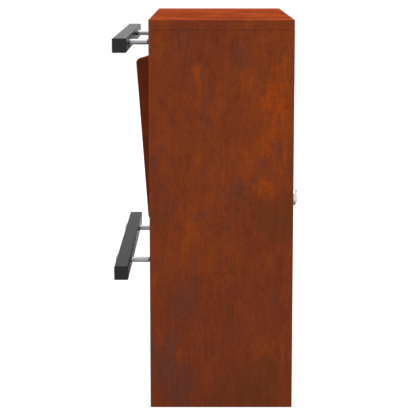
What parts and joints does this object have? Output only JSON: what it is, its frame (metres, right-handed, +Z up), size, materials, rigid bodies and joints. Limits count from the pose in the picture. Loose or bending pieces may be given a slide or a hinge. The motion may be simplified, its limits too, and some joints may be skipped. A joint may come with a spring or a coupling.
{
  "type": "mailbox",
  "caption": "Fence-mounted mailbox of rust-finished sheet steel with a narrow letter throat and flap in front, a locking rear door, and two clamp bars.",
  "frame": {"origin": "centre of the housing's flat underside", "axes": "+Z up; +Y out of the locking door (garden side); -Y to the clamp bars and the letter throat (street side); +X across the width, towards the lock"},
  "size_m": [0.36, 0.1973, 0.412],
  "materials": {
    "rust_steel": "even brown-orange rust skin of weathering steel, matt, with streaks",
    "black_coat": "fine-textured black powder coat",
    "black_plastic": "moulded, matt",
    "black_rubber": "matt",
    "zinc_steel": "bright zinc plate",
    "steel_pins": "plain stainless steel",
    "bright_lock": "satin chrome plate"
  },
  "bodies": {
    "housing": {"body_shell": "rust_steel", "bottom_panel": "rust_steel", "roof_cap": "rust_steel", "roof_rivets": "steel_pins", "door_frame": "rust_steel", "door_seal": "black_rubber", "hinge_pin_lower": "steel_pins", "hinge_pin_upper": "steel_pins", "hinge_washer": "black_plastic", "letter_throat": "rust_steel", "flap_pin": "rust_steel", "clamp_bar_upper": "black_coat", "clamp_bar_lower": "black_coat", "bar_end_caps": "black_plastic", "clamp_bolts": "zinc_steel", "seal_washers": "black_rubber", "clamp_washers": "zinc_steel", "clamp_nuts": "zinc_steel"},
    "door": {"door_panel": "rust_steel", "lock_body": "bright_lock", "lock_nut": "zinc_steel", "cover_rivet": "bright_lock"},
    "lock_core": {"lock_plug": "bright_lock", "lock_cam": "zinc_steel", "cam_screw": "zinc_steel"},
    "dust_cover": {"keyhole_cover": "bright_lock"},
    "flap": {"slot_flap": "rust_steel"}
  },
  "joints": [
    {"name": "door_hinge", "type": "hinge", "parent": "housing", "child": "door", "pos_m": [-0.17, 0.0715, 0.206], "axis": [0, 0, 1], "range_deg": [0, 115]},
    {"name": "lock_turn", "type": "hinge", "parent": "door", "child": "lock_core", "pos_m": [0.152, 0.0755, 0.2235], "axis": [0, 1, 0], "range_deg": [0, 90]},
    {"name": "cover_swivel", "type": "hinge", "parent": "door", "child": "dust_cover", "pos_m": [0.152, 0.0797, 0.2304], "axis": [0, 1, 0], "range_deg": [-100, 100]},
    {"name": "flap_hinge", "type": "hinge", "parent": "housing", "child": "flap", "pos_m": [0, -0.09055, 0.35335], "axis": [1, 0, 0], "range_deg": [0, 50]}
  ]
}
